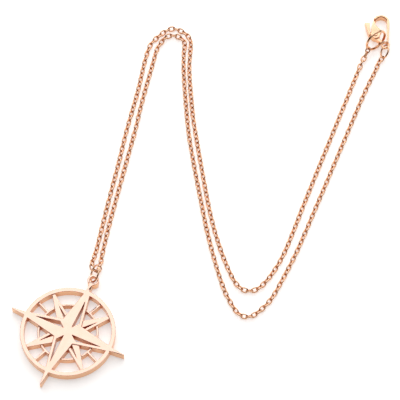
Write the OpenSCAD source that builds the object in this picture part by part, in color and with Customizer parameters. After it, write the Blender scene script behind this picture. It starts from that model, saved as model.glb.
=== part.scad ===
// Compass-rose pendant on a fine cable chain, lying folded on a table.
// Millimetres. The origin is the middle of the compass on its flat back, and +Z is up off the table.
// The chain's links are fine, so each strand is a plain round tube of the links' outer size.

/* [Compass rose] */
// Outer diameter of the compass ring
ring_d = 25; // [22:0.5:29]
// Width of the ring's flat face
ring_face = 1.1; // [0.9:0.1:1.8]
// Thickness of the casting
casting_t = 2.6; // [1.8:0.1:2.8]
// Turn of the compass on the table: the angle of its north arm from +X
north_angle = 65.6; // [60:0.2:70]
// Distance from the centre to the notches between the long arms
star_notch_r = 3.75; // [3:0.05:4.2]
// Width of a long arm where it meets the ring
arm_end_w = 1.5; // [1.1:0.1:1.8]
// Width of the thin bar beside each pierced half of a long arm
arm_bar_w = 0.75; // [0.5:0.05:0.9]
// How far the solid half of a long arm passes its middle line
arm_lap = 0.45; // [0.2:0.05:0.6]
// Distance from the centre to the near corner of a long arm's slit
arm_slit_near = 1.4; // [1.1:0.1:1.8]
// Distance from the centre to the wide shoulder of a long arm's slit
arm_slit_shoulder = 3.1; // [2.8:0.1:3.6]

/* [Short arms] */
// Half width of a short arm at its root
short_root_hw = 1.5; // [1.2:0.05:1.7]
// Distance from the centre to the root of a short arm
short_root_r = 4.7; // [4.4:0.1:5]
// Width of a short arm where it meets the ring
short_end_w = 0.6; // [0.4:0.05:0.9]
// Width of the thin bar beside each pierced half of a short arm
short_bar_w = 0.7; // [0.4:0.05:0.7]
// How far the solid half of a short arm passes its middle line
short_lap = 0.25; // [0.15:0.05:0.35]
// Distance from the centre to the near end of a short arm's slit
short_slit_near = 3.4; // [3:0.1:4]
// How much lower the short arms are than the long ones
short_drop = 0.25; // [0.1:0.05:0.5]

/* [Inner ring and ticks] */
// Outer diameter of the thin inner ring
inner_ring_d = 16; // [14:0.5:17]
// Width of the inner ring and of the ticks
fine_w = 0.55; // [0.4:0.05:0.8]
// How much lower the inner ring and the ticks are than the long arms
fine_drop = 0.45; // [0.2:0.05:0.8]

/* [Spikes and eye] */
// Reach of each spike beyond the ring
spike_reach = 3.7; // [2.5:0.1:4.5]
// Width of a spike where it leaves the ring
spike_root_w = 1.2; // [0.8:0.1:1.5]
// Width of a spike's blunt tip
spike_tip_w = 0.35; // [0.2:0.05:0.6]
// Length of the stem between the ring and the eye
stem_len = 1.9; // [1.7:0.1:2.5]
// Width of the stem
stem_w = 0.95; // [0.7:0.05:1.3]
// Hole of the eye
eye_hole_d = 2.0; // [1.8:0.1:2.4]
// Wall of the eye
eye_wall = 0.55; // [0.4:0.05:0.8]
// How far the stem and the eye are turned from the north arm
eye_turn = 1; // [0:0.5:2]
// Space under the eye's far half for the bail ring's wire
eye_lift = 1.1; // [1:0.05:1.3]

/* [Bail ring] */
// Wire of the bail ring
bail_wire = 0.5; // [0.4:0.05:0.55]
// Inner diameter of the bail ring
bail_inner_d = 4.1; // [4:0.05:4.5]
// Gap between the bail ring's wire and the chain
bail_gap = 0.15; // [0.12:0.01:0.25]

/* [Chain] */
// Outer diameter of the chain
chain_d = 1.4; // [1:0.1:1.4]

/* [Clasp body] */
// Thickness of the clasp's body
clasp_t = 1.9; // [1.6:0.1:2.2]
// Tilt of the clasp: its hook rests on the table and its tail on the rings
clasp_tilt = 6.4; // [5.6:0.2:6.8]
// Distance from the tail eye to the middle of the hook
hook_reach = 7.8; // [7.4:0.1:8]
// How far the middle of the hook lies to the side of the tail eye
hook_side = 0.8; // [0.6:0.05:1]
// Outer radius of the hook
hook_r = 2.3; // [2.15:0.05:2.45]
// Width of the hook
hook_w = 0.75; // [0.6:0.05:0.9]
// Width of the spine at the hook
spine_w = 0.75; // [0.6:0.05:0.9]
// Width of the bar from the tail to the knuckle
bar_w = 0.85; // [0.6:0.05:0.9]
// Thickness of the bar from the tail to the knuckle
bar_t = 1.15; // [0.9:0.05:1.3]
// Distance from the tail eye to the level of the rivet
rivet_reach = 3.2; // [3:0.05:3.4]
// How far the rivet lies to the side of the tail eye
rivet_side = 2.65; // [2.55:0.05:2.8]
// Radius of the knuckle round the rivet
knuckle_r = 1.3; // [1.25:0.05:1.4]
// Outer radius of the tail eye
tail_r = 1.2; // [1.15:0.05:1.3]
// Hole of the tail eye
tail_hole_d = 1.5; // [1.4:0.05:1.6]
// Thickness of the tail eye
tail_t = 0.6; // [0.5:0.05:0.7]

/* [Clasp lever] */
// Thickness of the lever's blade
lever_t = 0.8; // [0.6:0.05:1]
// Gap between the lever and each cheek of its slot
lever_gap = 0.06; // [0.04:0.01:0.1]
// Radius of the lever's boss round the rivet
boss_r = 1.0; // [0.85:0.05:1.05]
// Reach of the blade's belly to the side of the rivet
blade_w = 1.9; // [1.7:0.05:2]
// Length of the thumb tab
tab_len = 4.0; // [3.5:0.1:4.4]
// Width of the thumb tab at its free end
tab_w = 1.5; // [1.2:0.05:1.7]
// Width of the thumb tab at its neck
tab_neck_w = 0.55; // [0.45:0.05:0.7]
// Thickness of the thumb tab
tab_t = 1.5; // [1.2:0.1:1.7]
// Gap between the thumb tab and the knuckle
tab_gap = 0.15; // [0.12:0.01:0.25]
// Gap between the lever's tip and the hook's tip
tip_gap = 0.13; // [0.1:0.01:0.2]
// Diameter of the rivet
rivet_d = 0.76; // [0.6:0.02:0.9]
// Running clearance of the rivet in the lever, on the radius
rivet_clear = 0.04; // [0.02:0.01:0.08]
// Diameter of the rivet's heads
rivet_head_d = 1.24; // [1:0.02:1.4]
// Height of the rivet's heads
rivet_head_h = 0.18; // [0.1:0.02:0.22]

/* [End rings] */
// Wire of the ring that the clasp holds
end_wire = 0.7; // [0.5:0.05:0.7]
// Outer diameter of the ring that the clasp holds
end_ring_d = 7.0; // [6.6:0.1:7.3]
// Wire of the clasp's tail ring
tail_wire = 0.5; // [0.4:0.05:0.5]
// Outer diameter of the clasp's tail ring
tail_ring_d = 4.2; // [4:0.1:4.4]

/* [Hidden] */

rose_gold = [0.93, 0.70, 0.58];
pale_gold = [0.96, 0.78, 0.66];
eps = 0.01;

// Compass
quarter = 90;
ring_r = ring_d / 2;
ring_mid_r = ring_r - ring_face / 2;
arm_notch = star_notch_r * cos(45);
arm_taper = (arm_notch - arm_end_w / 2) / (ring_mid_r - arm_notch);
arm_bar_inset = arm_bar_w * sqrt(1 + arm_taper * arm_taper);
short_taper = (short_root_hw - short_end_w / 2) / (ring_mid_r - short_root_r);
short_bar_inset = short_bar_w * sqrt(1 + short_taper * short_taper);
inner_ring_mid_r = (inner_ring_d - fine_w) / 2;
tick_turn = -quarter / 4;
eye_r = eye_hole_d / 2 + eye_wall;
eye_n = ring_r + stem_len + eye_r;
eye_relief_back = 0.1;

// A leaning ring stands on the table on its wire and is threaded through a hole of another piece
function stand_z(r, wire, lean) = r * abs(sin(lean)) + wire / 2;
function level(a) = [cos(a), sin(a), 0];
function slope(turn, lean) = cos(lean) * level(turn + 90) + [0, 0, sin(lean)];
function ring_normal(turn, lean) = [0, 0, cos(lean)] - sin(lean) * level(turn + 90);
function threaded_middle(hole, r, wire, turn, lean, way) =
    let (z = stand_z(r, wire, lean), rise = hole[2] - z,
         along = sqrt(pow(r, 2) - pow(rise / sin(lean), 2)))
    [hole[0], hole[1], z] + way * along * level(turn) - rise / tan(lean) * level(turn + 90);
function ring_point(middle, r, turn, lean, a) =
    middle + r * (cos(a) * level(turn) + sin(a) * slope(turn, lean));

// Bail ring: it hangs on the eye's far wall, its left side on the table and its right side raised
bail_r = (bail_inner_d + bail_wire) / 2;
bail_turn = 86;
bail_lean = -60;
bail_hole_back = 0.2;
bail_hole = eye_n * level(north_angle + eye_turn) - bail_hole_back * level(bail_turn)
    + [0, 0, (casting_t + eye_lift) / 2];
bail_middle = threaded_middle(bail_hole, bail_r, bail_wire, bail_turn, bail_lean, 1);

// Clasp, in its own frame: the origin is the tail eye, and +Y runs to the hook
clasp_rest = 0.05;
clasp_place = [86.2, 86.6,
    (hook_reach + hook_r) * sin(clasp_tilt) + clasp_t / 2 * cos(clasp_tilt) + clasp_rest];
function from_clasp(p) = clasp_place + [p[0], p[1] * cos(clasp_tilt), -p[1] * sin(clasp_tilt)];
hook_c = [-hook_side, hook_reach];
hook_end = 156;
hook_start = -10;
hook_mid_r = hook_r - hook_w / 2;
hook_chamfer = 0.2;
rivet_c = [-rivet_side, rivet_reach];
slot_t = lever_t + 2 * lever_gap;
slot_r = boss_r + 0.12;
slot_reach = 2.2;
slot_below = 0.55;
rivet_bore_d = rivet_d + 0.04;

// Spine: shares of the way from the hook's middle down to the tail, and of the way in to the tail
spine_x = hook_r - hook_side;
spine_end_x = 0.6 * tail_r;
spine_line = [[0, 0], [0.23, 0.17], [0.46, 0.35], [0.82, 0.62], [1, 1]];
spine_ease = 0.3;
knuckle_foot = 0.75;

// The lever's tip lies along the end of the hook, a small gap away
hook_end_out = [-sin(hook_end), cos(hook_end)];
function hook_end_point(r) =
    hook_c + r * [cos(hook_end), sin(hook_end)] + tip_gap * hook_end_out;

// Blade: shares of the way from the rivet to the tip, and of the belly's reach to the side
blade_belly = [[0.74, 0.07], [0.61, 0.31], [0.5, 0.61], [0.41, 0.85], [0.3, 0.98], [0.16, 0.92],
               [0.02, 0.45]];
blade_back = [[0.14, -0.5], [0.3, -0.6], [0.52, -0.52], [0.76, -0.41]];
blade_way = hook_end_point(hook_mid_r) - rivet_c;
function blade_point(p) =
    rivet_c + p[0] * blade_way + p[1] * blade_w * unit([blade_way[1], -blade_way[0]]);

// Thumb tab: it starts clear of the knuckle and runs up beside the blade
tab_neck = rivet_c + (knuckle_r + tab_gap + tab_neck_w / 2) * [cos(172), sin(172)];
tab_dir = [cos(96), sin(96)];
tab_side = [-tab_dir[1], tab_dir[0]];
web_h = 1.1;

// End ring: it passes through the clasp between the spine and the bar
end_ring_r = (end_ring_d - end_wire) / 2;
end_ring_turn = 36;
end_ring_lean = 80;
end_hole = from_clasp([-0.45 * hook_side, 0.7 * rivet_reach]);
end_ring_middle = threaded_middle(end_hole, end_ring_r, end_wire, end_ring_turn, end_ring_lean, -1);

// Tail ring: it passes through the tail eye
tail_ring_r = (tail_ring_d - tail_wire) / 2;
tail_ring_turn = 88;
tail_ring_lean = -60;
tail_ring_middle =
    threaded_middle(clasp_place, tail_ring_r, tail_wire, tail_ring_turn, tail_ring_lean, -1);

// Chain: both strands start face to face inside the bail ring's far end, and turn off over its low
// side and under its high side. A lead's shares are along the ring's normal, along the ring and up.
chain_sides = 8;
bail_pass = (chain_d + bail_wire) / 2 + bail_gap;
chain_start = ring_point(bail_middle, bail_r - bail_pass, bail_turn, bail_lean, 20);
function lead(shares) = [for (p = shares) chain_start
    + bail_pass * (p[0] * ring_normal(bail_turn, bail_lean) + p[1] * level(bail_turn) + [0, 0, p[2]])];
over_lead = [[0, 0, 0], [0.7, 0.2, 0], [1.05, 0.8, 0], [1.05, 1.55, -0.1]];
under_lead = [[0, 0, 0], [-0.7, 0.2, 0], [-1.05, 0.8, 0], [-1.05, 1.7, 0]];

// Each strand ends at the wire of its ring: the angles say where on the rings they catch
end_catch_a = 210;
end_catch = ring_point(end_ring_middle, end_ring_r, end_ring_turn, end_ring_lean, end_catch_a);
end_tail = [end_catch + [-0.75, -1.55, -0.85], end_catch + [-0.22, -0.45, -0.3]];
tail_catch_a = 145;
tail_catch = ring_point(tail_ring_middle, tail_ring_r, tail_ring_turn, tail_ring_lean, tail_catch_a);
tail_tail = [tail_catch + [-0.38, -0.42, -0.1]];

// Routes of the two strands: points on the chain's middle line, from the bail ring to the clasp
ring_side_route = [
    [6, 20.3, 2], [6.3, 21.8, 1.2], [6.85, 24.1, 0.75], [7.45, 27, 0.7], [9.9, 39, 0.7],
    [12.5, 51, 0.7], [14.35, 60.3, 0.7], [17.35, 73, 0.7], [19.2, 82.6, 0.7], [20.5, 87.2, 0.7],
    [21.8, 89.2, 0.7], [25.1, 92.2, 0.7], [27.1, 92.8, 0.7], [29.3, 92, 0.7], [31, 90.6, 0.7],
    [31.9, 88.6, 0.7], [31.8, 85.3, 0.7], [31.55, 80, 0.7], [32.05, 71, 0.7], [32.75, 63.5, 0.7],
    [34.6, 51, 0.7], [37.1, 36, 0.7], [38.9, 28.2, 0.7], [41.1, 21.1, 0.7], [43.5, 15.4, 0.7],
    [45.3, 13.1, 0.7], [47.2, 12.4, 0.7], [49.2, 12.7, 0.7], [51.2, 14.2, 0.7], [54.2, 18.2, 0.7],
    [57.3, 24.2, 0.7], [62.9, 38.9, 0.7], [70, 57.3, 0.7], [78.5, 79.2, 0.7], [79.7, 82.2, 0.75]];
clasp_side_route = [
    [8.2, 20.8, 1], [8.35, 22.3, 0.8], [8.65, 24, 0.7], [9.8, 30, 0.7], [11.1, 35.9, 0.7],
    [14.55, 51, 0.7], [16.7, 60.3, 0.7], [18.6, 69.8, 0.7], [21.6, 82.5, 0.7], [22.5, 86.2, 0.7],
    [23.75, 88.5, 0.7], [24.9, 90, 0.7], [26.5, 90.6, 0.7], [28, 90.4, 0.7], [29.3, 89.6, 0.7],
    [30.2, 88.2, 0.7], [30, 85, 0.7], [29.95, 79.5, 0.7], [30.5, 70, 0.7], [31.7, 57.3, 0.7],
    [35.8, 33, 0.7], [37.3, 25.8, 0.7], [39.2, 18.2, 0.7], [41, 12.4, 0.7], [42.3, 9.5, 0.7],
    [43.7, 7, 0.7], [44.8, 5.7, 0.7], [46.3, 5, 0.7], [48.2, 5.2, 0.7], [50.2, 6.6, 0.7],
    [53.1, 9.75, 0.7], [56.2, 15.3, 0.7], [60.4, 24, 0.7], [65.3, 35.9, 0.7], [72.7, 54.2, 0.7],
    [80.3, 72.9, 0.7], [83.3, 79.3, 0.7], [84.4, 82, 0.75]];

// Half width of an arm at a distance from the centre
function arm_hw(u) = arm_notch - arm_taper * (u - arm_notch);
function short_hw(u) = short_root_hw - short_taper * (u - short_root_r);

// Distance at which the thin bar's inner edge meets the edge of the solid half
function arm_slit_end() = arm_notch + (arm_notch - arm_bar_inset - arm_lap) / arm_taper;
function short_slit_end() = short_root_r + (short_root_hw - short_bar_inset - short_lap) / short_taper;

// Tube along a route: one ring of corners at each point, square to the route
function unit(v) = v / norm(v);
function route_dir(route, i) =
    unit(route[min(i + 1, len(route) - 1)] - route[max(i - 1, 0)]);
function ring_corners(centre, dir) =
    let (side = unit([dir[1], -dir[0], 0]), up = cross(side, dir))
    [for (k = [0 : chain_sides - 1])
        centre + chain_d / 2 * (cos(k * 360 / chain_sides) * side + sin(k * 360 / chain_sides) * up)];

module tube_along(route, start_dir) {
    last = len(route) - 1;
    corners = [for (i = [0 : last])
        each ring_corners(route[i], i == 0 ? start_dir : route_dir(route, i))];
    start_face = [for (k = [0 : chain_sides - 1]) chain_sides - 1 - k];
    end_face = [for (k = [0 : chain_sides - 1]) last * chain_sides + k];
    sides = [for (i = [0 : last - 1]) for (k = [0 : chain_sides - 1])
        let (a = i * chain_sides + k, b = i * chain_sides + (k + 1) % chain_sides)
        [a, b, b + chain_sides, a + chain_sides]];
    polyhedron(points = corners, faces = concat([start_face], sides, [end_face]));
}

module flat_ring(outer_r, width, height) {
    linear_extrude(height) difference() {
        circle(outer_r, $fn = 96);
        circle(outer_r - width, $fn = 96);
    }
}

module wire_ring(r, wire) {
    rotate_extrude($fn = 64) translate([r, 0]) circle(d = wire, $fn = 24);
}

// Four long arms that reach the ring, each with a spike or stem beyond it
module long_arms() {
    linear_extrude(casting_t) for (k = [0 : 3]) rotate(k * quarter)
        polygon([[0, 0], [arm_notch, -arm_notch], [ring_mid_r, -arm_end_w / 2],
                 [ring_mid_r, arm_end_w / 2], [arm_notch, arm_notch]]);
}

// The clockwise half of each long arm is cut through, all but its thin outer bar
module long_slits() {
    shoulder_w = arm_hw(arm_slit_shoulder) - arm_bar_inset;
    translate([0, 0, -eps]) linear_extrude(casting_t + 2 * eps) for (k = [0 : 3]) rotate(k * quarter)
        polygon([[arm_slit_near, -arm_lap], [arm_slit_shoulder, -shoulder_w],
                 [arm_slit_end(), -arm_lap]]);
}

module short_arms() {
    linear_extrude(casting_t - short_drop) for (k = [0 : 3]) rotate((k + 0.5) * quarter)
        difference() {
            polygon([[star_notch_r / 2, -short_hw(star_notch_r)], [star_notch_r, -short_hw(star_notch_r)],
                     [ring_mid_r, -short_end_w / 2], [ring_mid_r, short_end_w / 2],
                     [star_notch_r, short_hw(star_notch_r)], [star_notch_r / 2, short_hw(star_notch_r)]]);
            polygon([[short_slit_near, -short_lap],
                     [short_slit_near, short_bar_inset - short_hw(short_slit_near)],
                     [short_slit_end(), -short_lap]]);
        }
}

module ticks() {
    tick_len = ring_mid_r - inner_ring_mid_r;
    linear_extrude(casting_t - fine_drop) for (k = [0 : 3]) rotate(k * quarter + tick_turn)
        translate([inner_ring_mid_r, -fine_w / 2]) square([tick_len, fine_w]);
}

module spikes() {
    tip_r = ring_r + spike_reach;
    linear_extrude(casting_t) for (k = [1 : 3]) rotate(k * quarter)
        polygon([[ring_mid_r, -spike_root_w / 2], [tip_r, -spike_tip_w / 2],
                 [tip_r, spike_tip_w / 2], [ring_mid_r, spike_root_w / 2]]);
}

// The far half of the eye is relieved below, where the bail ring's wire passes under it
module eye_and_stem() {
    stem_end = eye_n - eye_r + eye_wall / 2;
    rotate(eye_turn) {
        translate([ring_mid_r, -stem_w / 2, 0]) cube([stem_end - ring_mid_r, stem_w, casting_t]);
        translate([eye_n, 0, 0]) difference() {
            cylinder(r = eye_r, h = casting_t, $fn = 48);
            translate([0, 0, -eps]) cylinder(d = eye_hole_d, h = casting_t + 2 * eps, $fn = 48);
            translate([-eye_relief_back, -eye_r - eps, -eps])
                cube([eye_r + eye_relief_back + eps, 2 * (eye_r + eps), eye_lift + eps]);
        }
    }
}

module compass() {
    color(pale_gold) rotate(north_angle) {
        difference() {
            union() {
                long_arms();
                short_arms();
                flat_ring(inner_ring_d / 2, fine_w, casting_t - fine_drop);
            }
            long_slits();
        }
        flat_ring(ring_r, ring_face, casting_t);
        ticks();
        spikes();
        eye_and_stem();
    }
}

module leaning_ring(middle, r, wire, turn, lean) {
    color(rose_gold) translate(middle) rotate([0, 0, turn]) rotate([lean, 0, 0]) wire_ring(r, wire);
}

module bail_ring() {
    leaning_ring(bail_middle, bail_r, bail_wire, bail_turn, bail_lean);
}

module chain_ring_side() {
    color(rose_gold)
        tube_along(concat(lead(over_lead), ring_side_route, end_tail), ring_normal(bail_turn, bail_lean));
}

module chain_clasp_side() {
    color(rose_gold)
        tube_along(concat(lead(under_lead), clasp_side_route, tail_tail),
                   -ring_normal(bail_turn, bail_lean));
}

module in_clasp_frame() {
    translate(clasp_place) rotate([-clasp_tilt, 0, 0]) children();
}

module plate(t) {
    translate([0, 0, -t / 2]) linear_extrude(t) children();
}

// Hook: part of a ring with chamfered edges, from the spine round to its tip
module hook() {
    half_t = clasp_t / 2;
    inner = hook_mid_r - hook_w / 2;
    translate([hook_c[0], hook_c[1], 0]) rotate(hook_start)
        rotate_extrude(angle = hook_end - hook_start, $fn = 96)
            polygon([[inner, hook_chamfer - half_t], [inner + hook_chamfer, -half_t],
                     [hook_r - hook_chamfer, -half_t], [hook_r, hook_chamfer - half_t],
                     [hook_r, half_t - hook_chamfer], [hook_r - hook_chamfer, half_t],
                     [inner + hook_chamfer, half_t], [inner, half_t - hook_chamfer]]);
}

// Spine: a strip that runs down from the hook and narrows towards the tail
module spine() {
    outer = [for (p = spine_line)
        [spine_x + p[1] * (spine_end_x - spine_x), hook_reach * (1 - p[0])]];
    last = len(spine_line) - 1;
    inner = [for (i = [last : -1 : 0]) outer[i] - [spine_w - spine_ease * spine_line[i][0], 0]];
    plate(clasp_t) polygon(concat(outer, inner));
}

// Bar from the tail eye up to the knuckle that holds the rivet
module tail_bar() {
    foot = rivet_c - [0, knuckle_foot * knuckle_r];
    dir = unit(foot);
    side = bar_w / 2 * [-dir[1], dir[0]];
    start = (tail_r + tail_hole_d / 2) / 2 * dir;
    plate(bar_t) polygon([start + side, foot + side, foot - side, start - side]);
}

module clasp_body() {
    color(rose_gold) in_clasp_frame() difference() {
        union() {
            hook();
            spine();
            tail_bar();
            plate(tail_t) circle(tail_r, $fn = 48);
            translate(rivet_c) plate(clasp_t) circle(knuckle_r, $fn = 48);
        }
        translate(rivet_c) {
            plate(slot_t) circle(slot_r, $fn = 48);
            plate(slot_t) translate([-slot_reach, -slot_below])
                square([2 * slot_reach, knuckle_r + 2 * slot_below]);
            plate(clasp_t + 2 * eps) circle(d = rivet_bore_d, $fn = 32);
        }
        plate(clasp_t + 2 * eps) circle(d = tail_hole_d, $fn = 32);
    }
}

// Lever: a blade that closes the mouth, and a thicker thumb tab that widens to its free end
module clasp_lever() {
    tip_in = hook_end_point(hook_mid_r - hook_w / 3);
    tip_out = hook_end_point(hook_r - hook_w / 8);
    free_end = tab_neck + tab_len * tab_dir;
    color(pale_gold) in_clasp_frame() difference() {
        union() {
            plate(lever_t) {
                translate(rivet_c) circle(boss_r, $fn = 48);
                polygon(concat([tip_out, tip_in],
                               [for (p = concat(blade_belly, blade_back)) blade_point(p)]));
                polygon([tab_neck, tab_neck + web_h * tab_dir, rivet_c + [0, 0.8 * boss_r],
                         rivet_c - [0, 0.3 * boss_r]]);
            }
            plate(tab_t) {
                polygon([tab_neck + tab_neck_w / 2 * tab_side, free_end + tab_w / 2 * tab_side,
                         free_end - tab_w / 2 * tab_side, tab_neck - tab_neck_w / 2 * tab_side]);
                translate(tab_neck) circle(d = tab_neck_w, $fn = 32);
            }
        }
        translate(rivet_c) plate(tab_t) circle(d = rivet_d + 2 * rivet_clear, $fn = 32);
    }
}

module clasp_rivet() {
    shaft_t = clasp_t + lever_gap;
    color(pale_gold) in_clasp_frame() translate(rivet_c) {
        plate(shaft_t) circle(d = rivet_d, $fn = 32);
        for (side = [-1, 1]) translate([0, 0, side * (shaft_t + rivet_head_h) / 2])
            plate(rivet_head_h) circle(d = rivet_head_d, $fn = 32);
    }
}

module end_ring() {
    leaning_ring(end_ring_middle, end_ring_r, end_wire, end_ring_turn, end_ring_lean);
}

module tail_ring() {
    leaning_ring(tail_ring_middle, tail_ring_r, tail_wire, tail_ring_turn, tail_ring_lean);
}

compass();
bail_ring();
chain_ring_side();
chain_clasp_side();
clasp_body();
clasp_lever();
clasp_rivet();
end_ring();
tail_ring();
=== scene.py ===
"""Compass-rose pendant on a fine cable chain, laid out on a white table. Metres.

The castings keep the frame's shapes, with their edges softened, and the rings keep their wire.
The strands get their separate wire links. The studio is a white table under soft white lamps.
"""
import math
import random

import bmesh
import bpy
from mathutils import Matrix, Vector


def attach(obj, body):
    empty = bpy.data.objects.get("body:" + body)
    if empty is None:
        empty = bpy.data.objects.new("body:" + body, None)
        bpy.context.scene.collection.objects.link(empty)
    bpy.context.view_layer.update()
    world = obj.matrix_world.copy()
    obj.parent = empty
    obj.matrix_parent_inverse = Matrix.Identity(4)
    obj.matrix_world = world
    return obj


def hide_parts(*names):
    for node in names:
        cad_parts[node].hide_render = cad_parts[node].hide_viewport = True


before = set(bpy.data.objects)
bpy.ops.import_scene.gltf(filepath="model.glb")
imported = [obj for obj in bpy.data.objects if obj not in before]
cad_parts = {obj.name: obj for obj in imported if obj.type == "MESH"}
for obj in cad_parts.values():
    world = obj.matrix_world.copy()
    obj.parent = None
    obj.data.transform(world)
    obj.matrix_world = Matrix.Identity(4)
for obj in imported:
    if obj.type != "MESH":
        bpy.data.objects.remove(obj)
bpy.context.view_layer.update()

MM = 0.001

# Photograph
PHOTO_PX = 400
VIEW_ELEVATION = 63.6
VIEW_TARGET = (34.51 * MM, 39.52 * MM, 0.0)
VIEW_DISTANCE = 580.4 * MM
FOCAL_PX = 2148.6
SENSOR = 36.0

# Castings: how far each one's sharp edges are rounded
COMPASS_EDGE = 0.04 * MM
# A wider rounding throws a spike where the hook runs into the spine
CLASP_EDGE = 0.01 * MM
LEVER_EDGE = 0.06 * MM
RIVET_EDGE = 0.03 * MM
EDGE_ANGLE = 30
SAME_POINT = 0.0005 * MM
FLAT_ANGLE = 0.5

# Plating: the tone of top faces, with painted shade on the sides and painted shade in deep corners
PALE_FACE = (0.95, 0.645, 0.525)
PALE_SHADED_WALL = (0.88, 0.50, 0.28)
WARM_FACE = (0.93, 0.60, 0.40)
WARM_SHADED_WALL = (0.86, 0.49, 0.28)
# Painted shade in slits and corners: its tones, and how far it reaches
PALE_RECESS_SHADE = (0.60, 0.26, 0.07)
WARM_RECESS_SHADE = (0.82, 0.46, 0.20)
RECESS_SHADE_REACH = 1.8 * MM
# Roughness, depth of the clouds and strength of the fine marks
PALE_FINISH = (0.20, 0.05, 0.25)
WARM_FINISH = (0.16, 0.08, 0.15)
WORN_EDGE = 0.30 * MM
CLOUD_SCALE = 420
MARK_SCALE = 2600
MARK_DEPTH = 0.02 * MM
CORNER_SAMPLES = 12
EDGE_SAMPLES = 6

# Chain links: round wire bent to a long oval, each threaded through the next
LINK_WIRE = 0.42 * MM
LINK_LENGTH = 2.23 * MM
LINK_WIDTH = 1.60 * MM
LINK_PITCH = LINK_LENGTH - 2 * LINK_WIRE
LINK_TWIST = 45
LINK_TWIST_SPREAD = 7
BEND_STEPS = 5
WIRE_SIDES = 6

# Where the last links hang: the wire of each ring, and the way it runs where they catch it
END_WIRE = 0.7 * MM
END_WIRE_WAY = (0.49, 0.17, -0.85)
TAIL_WIRE = 0.5 * MM
TAIL_WIRE_WAY = (0.39, -0.59, 0.71)
END_DRIFT_LINKS = 6

# The strands' routes, as in the part's source: the chain's middle line from the bail ring outwards
RING_SIDE_ROUTE = [
    (6.77, 17.68, 1.89), (6.12, 17.94, 2.27), (5.83, 18.62, 2.46), (5.89, 19.45, 2.35),
    (6, 20.3, 2), (6.3, 21.8, 1.2), (6.85, 24.1, 0.75), (7.45, 27, 0.7), (9.9, 39, 0.7),
    (12.5, 51, 0.7), (14.35, 60.3, 0.7), (17.35, 73, 0.7), (19.2, 82.6, 0.7), (20.5, 87.2, 0.7),
    (21.8, 89.2, 0.7), (25.1, 92.2, 0.7), (27.1, 92.8, 0.7), (29.3, 92, 0.7), (31, 90.6, 0.7),
    (31.9, 88.6, 0.7), (31.8, 85.3, 0.7), (31.55, 80, 0.7), (32.05, 71, 0.7), (32.75, 63.5, 0.7),
    (34.6, 51, 0.7), (37.1, 36, 0.7), (38.9, 28.2, 0.7), (41.1, 21.1, 0.7), (43.5, 15.4, 0.7),
    (45.3, 13.1, 0.7), (47.2, 12.4, 0.7), (49.2, 12.7, 0.7), (51.2, 14.2, 0.7), (54.2, 18.2, 0.7),
    (57.3, 24.2, 0.7), (62.9, 38.9, 0.7), (70, 57.3, 0.7), (78.5, 79.2, 0.7), (79.7, 82.2, 0.75),
    (80.7, 84.1, 1.05), (81.24, 85.2, 1.6), (81.46, 85.66, 1.9)]
CLASP_SIDE_ROUTE = [
    (6.77, 17.68, 1.89), (7.45, 17.85, 1.5), (7.83, 18.49, 1.31), (7.9, 19.47, 1.31),
    (8.2, 20.8, 1), (8.35, 22.3, 0.8), (8.65, 24, 0.7), (9.8, 30, 0.7), (11.1, 35.9, 0.7),
    (14.55, 51, 0.7), (16.7, 60.3, 0.7), (18.6, 69.8, 0.7), (21.6, 82.5, 0.7), (22.5, 86.2, 0.7),
    (23.75, 88.5, 0.7), (24.9, 90, 0.7), (26.5, 90.6, 0.7), (28, 90.4, 0.7), (29.3, 89.6, 0.7),
    (30.2, 88.2, 0.7), (30, 85, 0.7), (29.95, 79.5, 0.7), (30.5, 70, 0.7), (31.7, 57.3, 0.7),
    (35.8, 33, 0.7), (37.3, 25.8, 0.7), (39.2, 18.2, 0.7), (41, 12.4, 0.7), (42.3, 9.5, 0.7),
    (43.7, 7, 0.7), (44.8, 5.7, 0.7), (46.3, 5, 0.7), (48.2, 5.2, 0.7), (50.2, 6.6, 0.7),
    (53.1, 9.75, 0.7), (56.2, 15.3, 0.7), (60.4, 24, 0.7), (65.3, 35.9, 0.7), (72.7, 54.2, 0.7),
    (80.3, 72.9, 0.7), (83.3, 79.3, 0.7), (84.4, 82, 0.75), (85.04, 82.86, 0.83), (85.42, 83.28, 0.93)]

# Studio
TABLE_SIZE = 1.6
TABLE_DROP = 0.02 * MM
# The dome is bright overhead and to the north, and dark low down and behind the camera
DOME_LIGHT = 1.0
SOFTBOX_WAY = (0.0, 0.45, 0.8)
ROOM_TONE = (0.06, 0.035, 0.02)
TABLE_GLOW = 0.5
TABLE_TONE = (0.96, 0.95, 0.945)
# Painted shade and painted orange bounce light on the table close round slits: its tone and reach
SLIT_SHADE_TONE = (0.70, 0.33, 0.12)
SLIT_SHADE_REACH = 1.6 * MM
LAMP_DISTANCE = 1.0
LAMP_AZIMUTH = 90
# Elevation, width, depth and brightness of each lamp
NORTH_PANEL = (62, 1.6, 1.0, 0.4)
LOW_LAMP = (30, 1.6, 0.3, 1.8)


# Materials

def new_material(name):
    """A material with an empty shader, and its nodes and links."""
    material = bpy.data.materials.new(name)
    material.use_nodes = True
    nodes, links = material.node_tree.nodes, material.node_tree.links
    shader = nodes["Principled BSDF"]
    return material, nodes, links, shader


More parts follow.
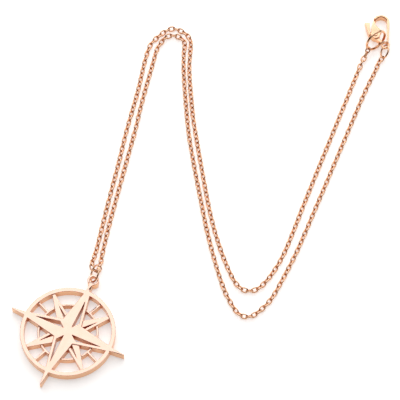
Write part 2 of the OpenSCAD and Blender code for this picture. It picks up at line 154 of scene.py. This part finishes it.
def rose_gold(name, face, shaded_wall, recess_shade, finish):
    """Polished rose-gold plating with faint clouds and marks, and painted shade: the sides deeper than
    the top, the corners dark orange.
    """
    roughness, haze, grain = finish
    material, nodes, links, shader = new_material(name)
    shader.inputs["Metallic"].default_value = 1.0
    place = nodes.new("ShaderNodeTexCoord")

    # Painted shade: the sides get a deeper tone than the top faces, by how far their normals lean from
    # upright
    way = nodes.new("ShaderNodeSeparateXYZ")
    links.new(place.outputs["Normal"], way.inputs["Vector"])
    upright = nodes.new("ShaderNodeMath")
    upright.operation = "ABSOLUTE"
    links.new(way.outputs["Z"], upright.inputs[0])
    side_shade = nodes.new("ShaderNodeValToRGB")
    side_shade.color_ramp.elements[0].position = 0.25
    side_shade.color_ramp.elements[0].color = (*shaded_wall, 1)
    side_shade.color_ramp.elements[1].position = 0.9
    side_shade.color_ramp.elements[1].color = (*face, 1)
    links.new(upright.outputs["Value"], side_shade.inputs["Fac"])

    clouds = nodes.new("ShaderNodeTexNoise")
    clouds.inputs["Scale"].default_value = CLOUD_SCALE
    clouds.inputs["Detail"].default_value = 3
    links.new(place.outputs["Object"], clouds.inputs["Vector"])
    veil = nodes.new("ShaderNodeValToRGB")
    veil.color_ramp.elements[0].position = 0.35
    veil.color_ramp.elements[0].color = (1 - haze, 1 - 1.2 * haze, 1 - 1.5 * haze, 1)
    veil.color_ramp.elements[1].position = 0.65
    links.new(clouds.outputs["Fac"], veil.inputs["Fac"])

    # Painted shade: where the casting closes round slits and corners, its tone turns dark and orange
    depth = nodes.new("ShaderNodeAmbientOcclusion")
    depth.samples = CORNER_SAMPLES
    depth.only_local = True
    depth.inputs["Distance"].default_value = RECESS_SHADE_REACH
    shade = nodes.new("ShaderNodeValToRGB")
    shade.color_ramp.elements[0].position = 0.3
    shade.color_ramp.elements[0].color = (*recess_shade, 1)
    shade.color_ramp.elements[1].position = 0.85
    links.new(depth.outputs["AO"], shade.inputs["Fac"])

    previous = side_shade.outputs["Color"]
    for layer in (veil.outputs["Color"], shade.outputs["Color"]):
        tint = nodes.new("ShaderNodeMix")
        tint.data_type = "RGBA"
        tint.blend_type = "MULTIPLY"
        tint.inputs["Factor"].default_value = 1.0
        links.new(previous, tint.inputs["A"])
        links.new(layer, tint.inputs["B"])
        previous = tint.outputs["Result"]
    links.new(previous, shader.inputs["Base Color"])

    gloss = nodes.new("ShaderNodeMapRange")
    gloss.inputs["To Min"].default_value = roughness * 0.8
    gloss.inputs["To Max"].default_value = roughness * 1.25
    links.new(clouds.outputs["Fac"], gloss.inputs["Value"])
    links.new(gloss.outputs["Result"], shader.inputs["Roughness"])

    worn_edge = nodes.new("ShaderNodeBevel")
    worn_edge.samples = EDGE_SAMPLES
    worn_edge.inputs["Radius"].default_value = WORN_EDGE
    marks = nodes.new("ShaderNodeTexNoise")
    marks.inputs["Scale"].default_value = MARK_SCALE
    marks.inputs["Detail"].default_value = 2
    links.new(place.outputs["Object"], marks.inputs["Vector"])
    relief = nodes.new("ShaderNodeBump")
    relief.inputs["Strength"].default_value = grain
    relief.inputs["Distance"].default_value = MARK_DEPTH
    links.new(marks.outputs["Fac"], relief.inputs["Height"])
    links.new(worn_edge.outputs["Normal"], relief.inputs["Normal"])
    links.new(relief.outputs["Normal"], shader.inputs["Normal"])
    return material


def table_white(name):
    """White glowing table, with painted shade and painted orange bounce light close round narrow
    slits.
    """
    material, nodes, links, shader = new_material(name)
    slit_occlusion = nodes.new("ShaderNodeAmbientOcclusion")
    slit_occlusion.samples = CORNER_SAMPLES
    slit_occlusion.inputs["Distance"].default_value = SLIT_SHADE_REACH
    tint = nodes.new("ShaderNodeValToRGB")
    slit, open_table = tint.color_ramp.elements
    slit.position = 0.03
    slit.color = (*SLIT_SHADE_TONE, 1)
    open_table.position = 0.25
    open_table.color = (*TABLE_TONE, 1)
    links.new(slit_occlusion.outputs["AO"], tint.inputs["Fac"])
    links.new(tint.outputs["Color"], shader.inputs["Base Color"])
    links.new(tint.outputs["Color"], shader.inputs["Emission Color"])
    shader.inputs["Roughness"].default_value = 0.7
    shader.inputs["Specular IOR Level"].default_value = 0.2
    shader.inputs["Emission Strength"].default_value = TABLE_GLOW
    return material


# Meshes

def add_piece(name, mesh, material, body, nodes):
    """A finished piece: it rides on a body and stands for some of the frame's nodes."""
    piece = bpy.data.objects.new(name, mesh)
    bpy.context.collection.objects.link(piece)
    mesh.materials.clear()
    mesh.materials.append(material)
    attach(piece, body)
    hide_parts(*nodes)
    return piece


def set_smooth(mesh):
    for face in mesh.polygons:
        face.use_smooth = True


def softened(node, name, edge, material, body, join_flats=True):
    """A copy of a casting with its sharp edges rounded off.

    Its flat faces are joined first, as the lever spikes without that. The compass stays in
    triangles, because one of its joined faces turns black.
    """
    work = bmesh.new()
    work.from_mesh(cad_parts[node].data)
    bmesh.ops.remove_doubles(work, verts=work.verts, dist=SAME_POINT)
    if join_flats:
        bmesh.ops.dissolve_limit(
            work, angle_limit=math.radians(FLAT_ANGLE), verts=work.verts, edges=work.edges)
    mesh = bpy.data.meshes.new(name)
    work.to_mesh(mesh)
    work.free()
    set_smooth(mesh)
    piece = add_piece(name, mesh, material, body, [node])
    rounding = piece.modifiers.new("edges", "BEVEL")
    rounding.width = edge
    rounding.segments = 2
    rounding.limit_method = "ANGLE"
    rounding.angle_limit = math.radians(EDGE_ANGLE)
    rounding.use_clamp_overlap = False
    shading = piece.modifiers.new("flat faces", "WEIGHTED_NORMAL")
    shading.mode = "FACE_AREA"
    shading.weight = 100


def link_mesh():
    """One chain link, lying flat: long way along X, its wire spun round both ends and closed."""
    work = bmesh.new()
    bend_r = (LINK_WIDTH - LINK_WIRE) / 2
    straight = LINK_LENGTH - LINK_WIDTH
    start = bmesh.ops.create_circle(
        work, cap_ends=False, segments=WIRE_SIDES, radius=LINK_WIRE / 2,
        matrix=Matrix.Translation((straight / 2, -bend_r, 0)) @ Matrix.Rotation(math.pi / 2, 4, "Y"))
    ends = start["verts"] + list({e for v in start["verts"] for e in v.link_edges})
    for side in (1, -1):
        turned = bmesh.ops.spin(
            work, geom=ends, cent=(side * straight / 2, 0, 0), axis=(0, 0, 1),
            angle=math.pi, steps=BEND_STEPS, use_merge=False)
        ends = turned["geom_last"]
        if side == 1:
            run = bmesh.ops.extrude_edge_only(
                work, edges=[e for e in ends if isinstance(e, bmesh.types.BMEdge)])
            moved = [v for v in run["geom"] if isinstance(v, bmesh.types.BMVert)]
            drawn = [e for e in run["geom"] if isinstance(e, bmesh.types.BMEdge)]
            bmesh.ops.translate(work, verts=moved, vec=(-straight, 0, 0))
            ends = moved + [e for e in drawn if all(v in moved for v in e.verts)]
    open_edges = [e for e in work.edges if len(e.link_faces) == 1]
    bmesh.ops.bridge_loops(work, edges=open_edges)
    bmesh.ops.recalc_face_normals(work, faces=work.faces)
    mesh = bpy.data.meshes.new("link")
    work.to_mesh(mesh)
    work.free()
    return mesh


def smooth_path(points, steps=12):
    """Close points along a smooth curve through the route's points."""
    knots = [Vector(p) * MM for p in points]
    padded = [2 * knots[0] - knots[1]] + knots + [2 * knots[-1] - knots[-2]]
    path = []
    for before, a, b, after in zip(padded, padded[1:], padded[2:], padded[3:]):
        reach = (b - a).length / 3
        lead = (b - before).normalized() * reach
        tail = (after - a).normalized() * reach
        for k in range(steps):
            t = k / steps
            path.append(a * (1 - t) ** 3 + (a + lead) * 3 * t * (1 - t) ** 2
                        + (b - tail) * 3 * t * t * (1 - t) + b * t ** 3)
    return path + [knots[-1]]


def points_along(path, first, last, count):
    """Evenly spaced places and directions along a path, between two distances from its start."""
    spans = [(b - a).length for a, b in zip(path, path[1:])]
    places, at, index = [], 0.0, 0
    for k in range(count):
        want = first + (last - first) * k / (count - 1)
        while index < len(spans) - 1 and at + spans[index] < want:
            at += spans[index]
            index += 1
        share = (want - at) / spans[index]
        a, b = path[index], path[index + 1]
        places.append((a + (b - a) * share, (b - a).normalized()))
    return places


def turn_about(along, turn):
    """The way across a link whose flat side is turned about the chain by an angle from level."""
    side = along.cross(Vector((0, 0, 1))).normalized()
    up = side.cross(along)
    return side * math.cos(turn) + up * math.sin(turn)


def turn_round_wire(along, wire_way):
    """The turn of a link whose hole faces along a ring's wire."""
    side = along.cross(Vector((0, 0, 1))).normalized()
    up = side.cross(along)
    return math.atan2(-side.dot(wire_way), up.dot(wire_way))


def strand(name, node, route, first, ring_wire, wire_way, seed, material):
    """A strand of interlocked links along its route, the last one hung on its ring's wire."""
    path = smooth_path(route)
    length = sum((b - a).length for a, b in zip(path, path[1:]))
    last = length - (LINK_LENGTH / 2 - LINK_WIRE - ring_wire / 2)
    count = round((last - first) / LINK_PITCH) + 1
    spots = points_along(path, first, last, count)
    chance = random.Random(seed)
    twist = math.radians(LINK_TWIST)
    turns = [(twist if k % 2 else -twist) + math.radians(chance.uniform(-1, 1) * LINK_TWIST_SPREAD)
             for k in range(count)]
    drift = turn_round_wire(spots[-1][1], Vector(wire_way)) - turns[-1]
    drift = (drift + math.pi / 2) % math.pi - math.pi / 2
    for k in range(END_DRIFT_LINKS):
        turns[-1 - k] += drift * (1 - k / END_DRIFT_LINKS)
    one = link_mesh()
    work = bmesh.new()
    for (place, along), turn in zip(spots, turns):
        across = turn_about(along, turn)
        spot = Matrix((along, across, along.cross(across))).transposed().to_4x4()
        spot.translation = place
        old = len(work.verts)
        work.from_mesh(one)
        work.verts.ensure_lookup_table()
        bmesh.ops.transform(work, matrix=spot, verts=work.verts[old:])
    mesh = bpy.data.meshes.new(name)
    work.to_mesh(mesh)
    work.free()
    set_smooth(mesh)
    add_piece(name, mesh, material, "necklace", [node])


# Castings and wire

pale = rose_gold("pale rose gold plating", PALE_FACE, PALE_SHADED_WALL, PALE_RECESS_SHADE, PALE_FINISH)
warm = rose_gold("warm rose gold plating", WARM_FACE, WARM_SHADED_WALL, WARM_RECESS_SHADE, WARM_FINISH)

softened("compass", "compass_rose", COMPASS_EDGE, pale, "necklace", join_flats=False)
softened("clasp_body", "clasp_hook", CLASP_EDGE, warm, "necklace")
softened("clasp_lever", "clasp_gate", LEVER_EDGE, warm, "lever")
softened("clasp_rivet", "clasp_pin", RIVET_EDGE, warm, "necklace")
strand("links_ring_side", "chain_ring_side", RING_SIDE_ROUTE, 0.0, END_WIRE, END_WIRE_WAY, 3, warm)
strand("links_clasp_side", "chain_clasp_side", CLASP_SIDE_ROUTE, LINK_PITCH, TAIL_WIRE, TAIL_WIRE_WAY,
       5, warm)
for ring in ("bail_ring", "end_ring", "tail_ring"):
    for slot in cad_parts[ring].material_slots:
        slot.material = warm

# Table, light and camera

table_mesh = bpy.data.meshes.new("table")
work = bmesh.new()
bmesh.ops.create_grid(work, x_segments=1, y_segments=1, size=TABLE_SIZE / 2,
                      matrix=Matrix.Translation((VIEW_TARGET[0], VIEW_TARGET[1], -TABLE_DROP)))
work.to_mesh(table_mesh)
work.free()
table = bpy.data.objects.new("table", table_mesh)
table_mesh.materials.append(table_white("white table"))
bpy.context.collection.objects.link(table)

world = bpy.data.worlds.new("studio")
world.use_nodes = True
bpy.context.scene.world = world
nodes, links = world.node_tree.nodes, world.node_tree.links
dome = nodes["Background"]
sky_place = nodes.new("ShaderNodeTexCoord")
northward = nodes.new("ShaderNodeVectorMath")
northward.operation = "DOT_PRODUCT"
northward.inputs[1].default_value = SOFTBOX_WAY
links.new(sky_place.outputs["Generated"], northward.inputs[0])
shade = nodes.new("ShaderNodeValToRGB")
shade.color_ramp.elements[0].position = 0.5
shade.color_ramp.elements[0].color = (*ROOM_TONE, 1)
shade.color_ramp.elements[1].position = 0.72
shade.color_ramp.elements[1].color = (1.0, 1.0, 1.0, 1)
links.new(northward.outputs["Value"], shade.inputs["Fac"])
links.new(shade.outputs["Color"], dome.inputs["Color"])
dome.inputs["Strength"].default_value = DOME_LIGHT


def lamp_panel(name, elevation, width, depth, brightness):
    """A soft lamp to the north above the table, facing the middle of the view."""
    around, above = math.radians(LAMP_AZIMUTH), math.radians(elevation)
    level = math.cos(above)
    way = Vector((math.cos(around) * level, math.sin(around) * level, math.sin(above)))
    light = bpy.data.lights.new(name, "AREA")
    light.shape = "RECTANGLE"
    light.size = width
    light.size_y = depth
    light.energy = brightness * math.pi * width * depth
    lamp = bpy.data.objects.new(name, light)
    bpy.context.collection.objects.link(lamp)
    lamp.location = Vector(VIEW_TARGET) + LAMP_DISTANCE * way
    lamp.rotation_euler = way.to_track_quat("Z", "Y").to_euler()


lamp_panel("north panel", *NORTH_PANEL)
lamp_panel("low lamp", *LOW_LAMP)

view = bpy.data.cameras.new("camera")
view.sensor_fit = "HORIZONTAL"
view.sensor_width = SENSOR
view.lens = FOCAL_PX / PHOTO_PX * SENSOR
view.clip_start = 0.01
view.clip_end = 10
camera = bpy.data.objects.new("camera", view)
bpy.context.collection.objects.link(camera)
tilt = math.radians(VIEW_ELEVATION)
camera.location = Vector(VIEW_TARGET) + VIEW_DISTANCE * Vector((0, -math.cos(tilt), math.sin(tilt)))
camera.rotation_euler = (math.pi / 2 - tilt, 0, 0)
bpy.context.scene.camera = camera
bpy.context.scene.view_settings.view_transform = "Standard"
